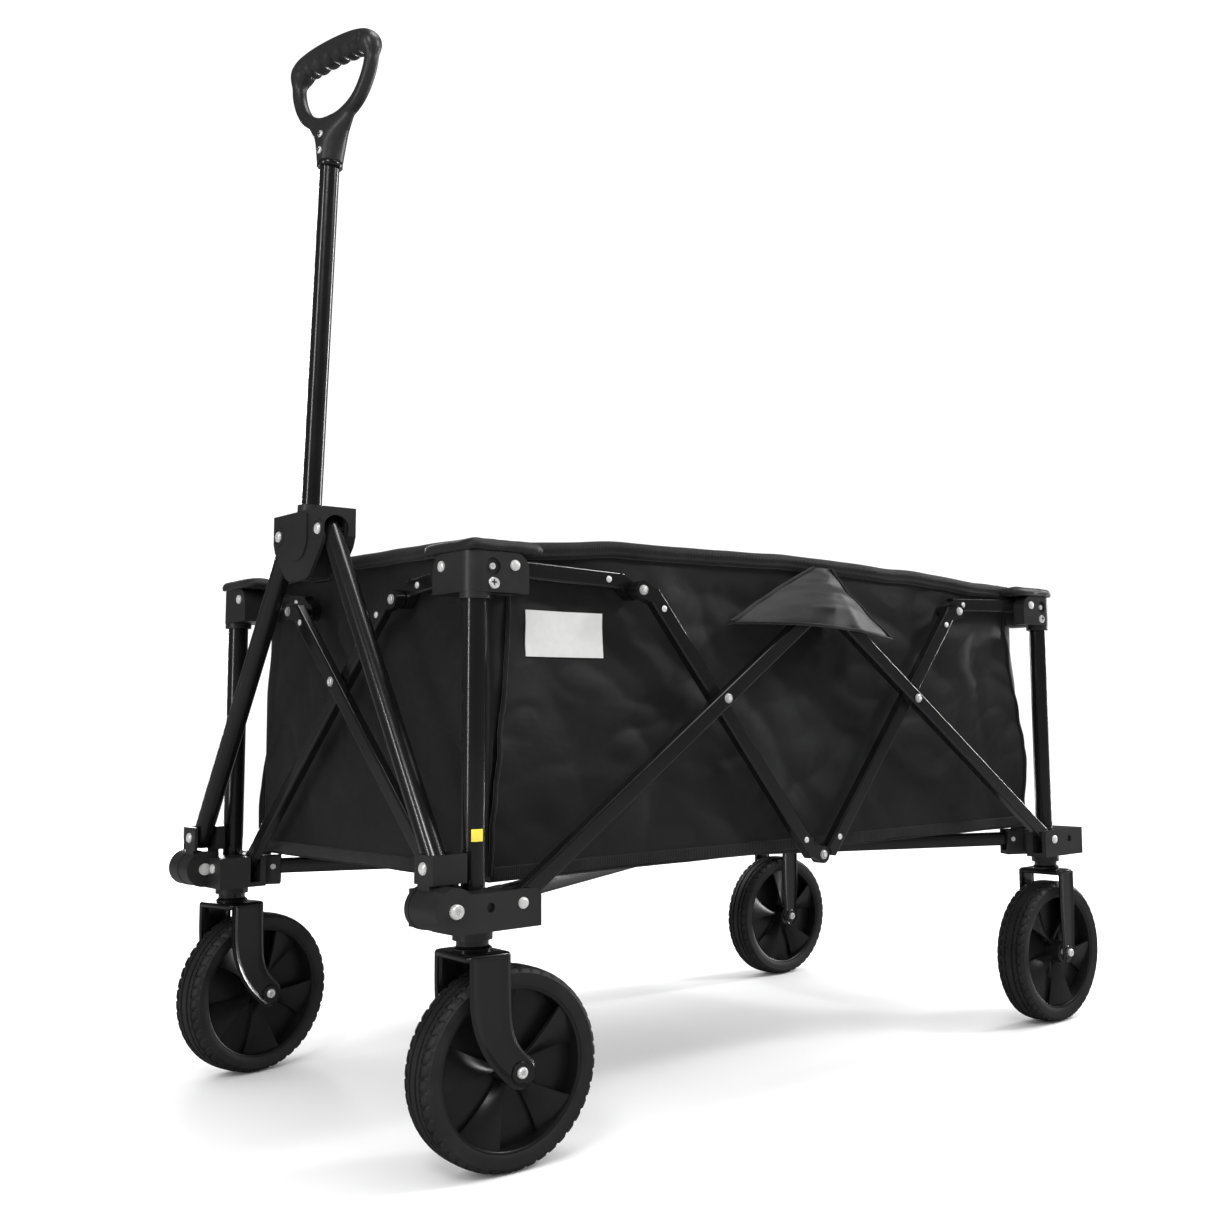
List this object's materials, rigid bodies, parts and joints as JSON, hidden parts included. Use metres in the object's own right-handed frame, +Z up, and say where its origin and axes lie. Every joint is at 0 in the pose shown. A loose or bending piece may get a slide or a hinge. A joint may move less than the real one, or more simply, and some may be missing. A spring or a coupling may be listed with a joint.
{
  "type": "folding wagon with pull handle",
  "caption": "Collapsible utility wagon: black fabric box in a scissor-folding tube frame on large casters, with a tilting D-grip pull handle.",
  "frame": {"origin": "on the floor, under the middle of the wagon's bounding box with the handle upright", "axes": "+Z up, handle end towards -X, the wagon's left side towards -Y"},
  "size_m": [1.042, 0.5938, 1.1304],
  "materials": {
    "powder_coat": "glossy black powder coat",
    "zinc": "bright zinc plate",
    "black_plastic": "moulded, fine grain",
    "rim_plastic": "semi-gloss",
    "tyre": "moulded, ribbed",
    "woven_fabric": "heavy woven polyester",
    "board": "padded mat"
  },
  "bodies": {
    "corner_front_left": {"post_front_left": "powder_coat", "top_bracket_front_left": "black_plastic", "bottom_bracket_front_left": "black_plastic", "pins_front_left": "zinc", "bag": "woven_fabric", "floor_board": "board"},
    "long_brace_front_left": {"long_brace_front_left": "powder_coat"},
    "short_brace_front_left": {"short_brace_front_left": "powder_coat"},
    "end_brace_front_left": {"end_brace_front_left": "powder_coat"},
    "side_link_front_left": {"side_link_front_left": "powder_coat"},
    "end_link_front_left": {"end_link_front_left": "powder_coat"},
    "caster_front_left": {"fork_front_left": "powder_coat"},
    "wheel_front_left": {"rim_front_left": "rim_plastic", "tyre_front_left": "tyre"},
    "corner_front_right": {"post_front_right": "powder_coat", "top_bracket_front_right": "black_plastic", "bottom_bracket_front_right": "black_plastic", "pins_front_right": "zinc"},
    "long_brace_front_right": {"long_brace_front_right": "powder_coat"},
    "short_brace_front_right": {"short_brace_front_right": "powder_coat"},
    "end_brace_front_right": {"end_brace_front_right": "powder_coat"},
    "side_link_front_right": {"side_link_front_right": "powder_coat"},
    "end_link_front_right": {"end_link_front_right": "powder_coat"},
    "caster_front_right": {"fork_front_right": "powder_coat"},
    "wheel_front_right": {"rim_front_right": "rim_plastic", "tyre_front_right": "tyre"},
    "corner_rear_left": {"post_rear_left": "powder_coat", "top_bracket_rear_left": "black_plastic", "bottom_bracket_rear_left": "black_plastic", "pins_rear_left": "zinc", "fork_rear_left": "powder_coat"},
    "long_brace_rear_left": {"long_brace_rear_left": "powder_coat"},
    "short_brace_rear_left": {"short_brace_rear_left": "powder_coat"},
    "end_brace_rear_left": {"end_brace_rear_left": "powder_coat"},
    "side_link_rear_left": {"side_link_rear_left": "powder_coat"},
    "end_link_rear_left": {"end_link_rear_left": "powder_coat"},
    "wheel_rear_left": {"rim_rear_left": "rim_plastic", "tyre_rear_left": "tyre"},
    "corner_rear_right": {"post_rear_right": "powder_coat", "top_bracket_rear_right": "black_plastic", "bottom_bracket_rear_right": "black_plastic", "pins_rear_right": "zinc", "fork_rear_right": "powder_coat"},
    "long_brace_rear_right": {"long_brace_rear_right": "powder_coat"},
    "short_brace_rear_right": {"short_brace_rear_right": "powder_coat"},
    "end_brace_rear_right": {"end_brace_rear_right": "powder_coat"},
    "side_link_rear_right": {"side_link_rear_right": "powder_coat"},
    "end_link_rear_right": {"end_link_rear_right": "powder_coat"},
    "wheel_rear_right": {"rim_rear_right": "rim_plastic", "tyre_rear_right": "tyre"},
    "knuckle_left": {"knuckle_left": "black_plastic"},
    "knuckle_right": {"knuckle_right": "black_plastic"},
    "handle_leg_left": {"handle_leg_left": "powder_coat"},
    "handle_leg_right": {"handle_leg_right": "powder_coat"},
    "handle": {"yoke": "black_plastic", "shaft": "powder_coat", "grip": "black_plastic", "grip_screws": "zinc"},
    "floor_struts_left": {"floor_struts_left": "powder_coat"},
    "floor_struts_right": {"floor_struts_right": "powder_coat"}
  },
  "joints": [
    {"name": "fold", "type": "hinge", "parent": "corner_front_left", "child": "long_brace_front_left", "pos_m": [-0.431, -0.28038, 0.238], "axis": [0, -1, 0], "range_deg": [0, 45.74], "deforming": ["bag", "floor_board"]},
    {"name": "middle_top_l", "type": "hinge", "parent": "long_brace_front_left", "child": "long_brace_rear_left", "pos_m": [-0.015, -0.28038, 0.51769], "axis": [0, -1, 0], "range_deg": [-92.05, 0.5]},
    {"name": "rear_low_l", "type": "hinge", "parent": "long_brace_rear_left", "child": "corner_rear_left", "pos_m": [0.401, -0.28038, 0.238], "axis": [0, -1, 0], "range_deg": [-0.5, 46.29]},
    {"name": "cross_fl", "type": "hinge", "parent": "long_brace_front_left", "child": "short_brace_front_left", "pos_m": [-0.16969, -0.26688, 0.42097], "axis": [0, -1, 0], "range_deg": [-78.55, 0.5]},
    {"name": "cross_rl", "type": "hinge", "parent": "long_brace_rear_left", "child": "short_brace_rear_left", "pos_m": [0.13969, -0.26688, 0.42097], "axis": [0, -1, 0], "range_deg": [-0.5, 78.55]},
    {"name": "side_link_fl", "type": "hinge", "parent": "corner_front_left", "child": "side_link_front_left", "pos_m": [-0.427, -0.24988, 0.545], "axis": [0, -1, 0], "range_deg": [-0.5, 89.05]},
    {"name": "side_link_rl", "type": "hinge", "parent": "corner_rear_left", "child": "side_link_rear_left", "pos_m": [0.397, -0.24988, 0.545], "axis": [0, 1, 0], "range_deg": [-0.5, 89.05]},
    {"name": "end_low_fl", "type": "hinge", "parent": "corner_front_left", "child": "end_brace_front_left", "pos_m": [-0.4675, -0.22738, 0.238], "axis": [1, 0, 0], "range_deg": [-0.5, 39.84]},
    {"name": "end_cross_f", "type": "hinge", "parent": "end_brace_front_left", "child": "end_brace_front_right", "pos_m": [-0.461, -0.00238, 0.44345], "axis": [1, 0, 0], "range_deg": [-79.15, 0.5]},
    {"name": "end_low_fr", "type": "hinge", "parent": "end_brace_front_right", "child": "corner_front_right", "pos_m": [-0.4555, 0.22262, 0.238], "axis": [1, 0, 0], "range_deg": [-0.5, 39.84]},
    {"name": "end_link_fl", "type": "hinge", "parent": "corner_front_left", "child": "end_link_front_left", "pos_m": [-0.4435, -0.22338, 0.545], "axis": [1, 0, 0], "range_deg": [-0.5, 95.17]},
    {"name": "end_link_fr", "type": "hinge", "parent": "corner_front_right", "child": "end_link_front_right", "pos_m": [-0.4435, 0.21862, 0.545], "axis": [-1, 0, 0], "range_deg": [-0.5, 95.17]},
    {"name": "front_low_r", "type": "hinge", "parent": "corner_front_right", "child": "long_brace_front_right", "pos_m": [-0.431, 0.27562, 0.238], "axis": [0, -1, 0], "range_deg": [-0.5, 46.29]},
    {"name": "middle_top_r", "type": "hinge", "parent": "long_brace_front_right", "child": "long_brace_rear_right", "pos_m": [-0.015, 0.27562, 0.51769], "axis": [0, -1, 0], "range_deg": [-92.05, 0.5]},
    {"name": "rear_low_r", "type": "hinge", "parent": "long_brace_rear_right", "child": "corner_rear_right", "pos_m": [0.401, 0.27562, 0.238], "axis": [0, -1, 0], "range_deg": [-0.5, 46.29]},
    {"name": "cross_fr", "type": "hinge", "parent": "long_brace_front_right", "child": "short_brace_front_right", "pos_m": [-0.16969, 0.26212, 0.42097], "axis": [0, -1, 0], "range_deg": [-78.55, 0.5]},
    {"name": "cross_rr", "type": "hinge", "parent": "long_brace_rear_right", "child": "short_brace_rear_right", "pos_m": [0.13969, 0.26212, 0.42097], "axis": [0, -1, 0], "range_deg": [-0.5, 78.55]},
    {"name": "side_link_fr", "type": "hinge", "parent": "corner_front_right", "child": "side_link_front_right", "pos_m": [-0.427, 0.24512, 0.545], "axis": [0, -1, 0], "range_deg": [-0.5, 89.05]},
    {"name": "side_link_rr", "type": "hinge", "parent": "corner_rear_right", "child": "side_link_rear_right", "pos_m": [0.397, 0.24512, 0.545], "axis": [0, 1, 0], "range_deg": [-0.5, 89.05]},
    {"name": "end_low_rl", "type": "hinge", "parent": "corner_rear_left", "child": "end_brace_rear_left", "pos_m": [0.4375, -0.22738, 0.238], "axis": [1, 0, 0], "range_deg": [-0.5, 39.84]},
    {"name": "end_low_rr", "type": "hinge", "parent": "corner_rear_right", "child": "end_brace_rear_right", "pos_m": [0.4255, 0.22262, 0.238], "axis": [-1, 0, 0], "range_deg": [-0.5, 39.84]},
    {"name": "end_link_rl", "type": "hinge", "parent": "corner_rear_left", "child": "end_link_rear_left", "pos_m": [0.4135, -0.22338, 0.545], "axis": [1, 0, 0], "range_deg": [-0.5, 95.17]},
    {"name": "end_link_rr", "type": "hinge", "parent": "corner_rear_right", "child": "end_link_rear_right", "pos_m": [0.4135, 0.21862, 0.545], "axis": [-1, 0, 0], "range_deg": [-0.5, 95.17]},
    {"name": "handle_tilt", "type": "hinge", "parent": "corner_front_left", "child": "knuckle_left", "pos_m": [-0.501, -0.25738, 0.237], "axis": [0, -1, 0], "range_deg": [0, 95]},
    {"name": "handle_tilt_right", "type": "hinge", "parent": "corner_front_right", "child": "knuckle_right", "pos_m": [-0.501, 0.25262, 0.237], "axis": [0, -1, 0], "range_deg": [-0.5, 95.5]},
    {"name": "leg_low_l", "type": "hinge", "parent": "knuckle_left", "child": "handle_leg_left", "pos_m": [-0.498, -0.25738, 0.272], "axis": [1, 0, 0], "range_deg": [-0.5, 29.09]},
    {"name": "leg_top_l", "type": "hinge", "parent": "handle_leg_left", "child": "handle", "pos_m": [-0.498, -0.04638, 0.597], "axis": [1, 0, 0], "range_deg": [-29.09, 0.5]},
    {"name": "leg_low_r", "type": "hinge", "parent": "knuckle_right", "child": "handle_leg_right", "pos_m": [-0.498, 0.25262, 0.272], "axis": [-1, 0, 0], "range_deg": [-0.5, 29.09]},
    {"name": "floor_l", "type": "hinge", "parent": "corner_front_left", "child": "floor_struts_left", "pos_m": [-0.425, -0.22638, 0.236], "axis": [1, 0, 0], "range_deg": [-0.5, 84.56], "deforming": ["floor_struts_left"]},
    {"name": "floor_r", "type": "hinge", "parent": "corner_front_right", "child": "floor_struts_right", "pos_m": [-0.425, 0.22162, 0.236], "axis": [-1, 0, 0], "range_deg": [-0.5, 84.56], "deforming": ["floor_struts_right"]},
    {"name": "caster_fl", "type": "hinge", "parent": "corner_front_left", "child": "caster_front_left", "pos_m": [-0.461, -0.25738, 0.2], "axis": [0, 0, 1], "continuous": true},
    {"name": "wheel_fl", "type": "hinge", "parent": "caster_front_left", "child": "wheel_front_left", "pos_m": [-0.42904, -0.25905, 0.09], "axis": [0.0523, 0.9986, 0], "continuous": true},
    {"name": "caster_fr", "type": "hinge", "parent": "corner_front_right", "child": "caster_front_right", "pos_m": [-0.461, 0.25262, 0.2], "axis": [0, 0, 1], "continuous": true},
    {"name": "wheel_fr", "type": "hinge", "parent": "caster_front_right", "child": "wheel_front_right", "pos_m": [-0.42959, 0.25873, 0.09], "axis": [-0.1908, 0.9816, 0], "continuous": true},
    {"name": "wheel_rl", "type": "hinge", "parent": "corner_rear_left", "child": "wheel_rear_left", "pos_m": [0.431, -0.25738, 0.09], "axis": [0, 1, 0], "continuous": true},
    {"name": "wheel_rr", "type": "hinge", "parent": "corner_rear_right", "child": "wheel_rear_right", "pos_m": [0.431, 0.25262, 0.09], "axis": [0, 1, 0], "continuous": true}
  ],
  "couplings": [
    {"joint": "middle_top_l", "follows": "fold", "ratio": -2},
    {"joint": "rear_low_l", "follows": "fold", "ratio": 1},
    {"joint": "cross_fl", "follows": "fold", "ratio": -1.7049},
    {"joint": "cross_rl", "follows": "fold", "ratio": 1.7049},
    {"joint": "side_link_fl", "follows": "fold", "ratio": 1.9344},
    {"joint": "side_link_rl", "follows": "fold", "ratio": 1.9344},
    {"joint": "end_low_fl", "follows": "fold", "ratio": 0.85908},
    {"joint": "end_cross_f", "follows": "fold", "ratio": -1.7182},
    {"joint": "end_low_fr", "follows": "fold", "ratio": 0.85908},
    {"joint": "end_link_fl", "follows": "fold", "ratio": 2.0681},
    {"joint": "end_link_fr", "follows": "fold", "ratio": 2.0681},
    {"joint": "front_low_r", "follows": "fold", "ratio": 1},
    {"joint": "middle_top_r", "follows": "fold", "ratio": -2},
    {"joint": "rear_low_r", "follows": "fold", "ratio": 1},
    {"joint": "cross_fr", "follows": "fold", "ratio": -1.7049},
    {"joint": "cross_rr", "follows": "fold", "ratio": 1.7049},
    {"joint": "side_link_fr", "follows": "fold", "ratio": 1.9344},
    {"joint": "side_link_rr", "follows": "fold", "ratio": 1.9344},
    {"joint": "end_low_rl", "follows": "fold", "ratio": 0.85908},
    {"joint": "end_low_rr", "follows": "fold", "ratio": 0.85908},
    {"joint": "end_link_rl", "follows": "fold", "ratio": 2.0681},
    {"joint": "end_link_rr", "follows": "fold", "ratio": 2.0681},
    {"joint": "handle_tilt_right", "follows": "handle_tilt", "ratio": 1},
    {"joint": "leg_low_l", "follows": "fold", "ratio": 0.62419},
    {"joint": "leg_top_l", "follows": "fold", "ratio": -0.62419},
    {"joint": "leg_low_r", "follows": "fold", "ratio": 0.62419},
    {"joint": "floor_l", "follows": "fold", "ratio": 1.8363},
    {"joint": "floor_r", "follows": "fold", "ratio": 1.8363}
  ]
}
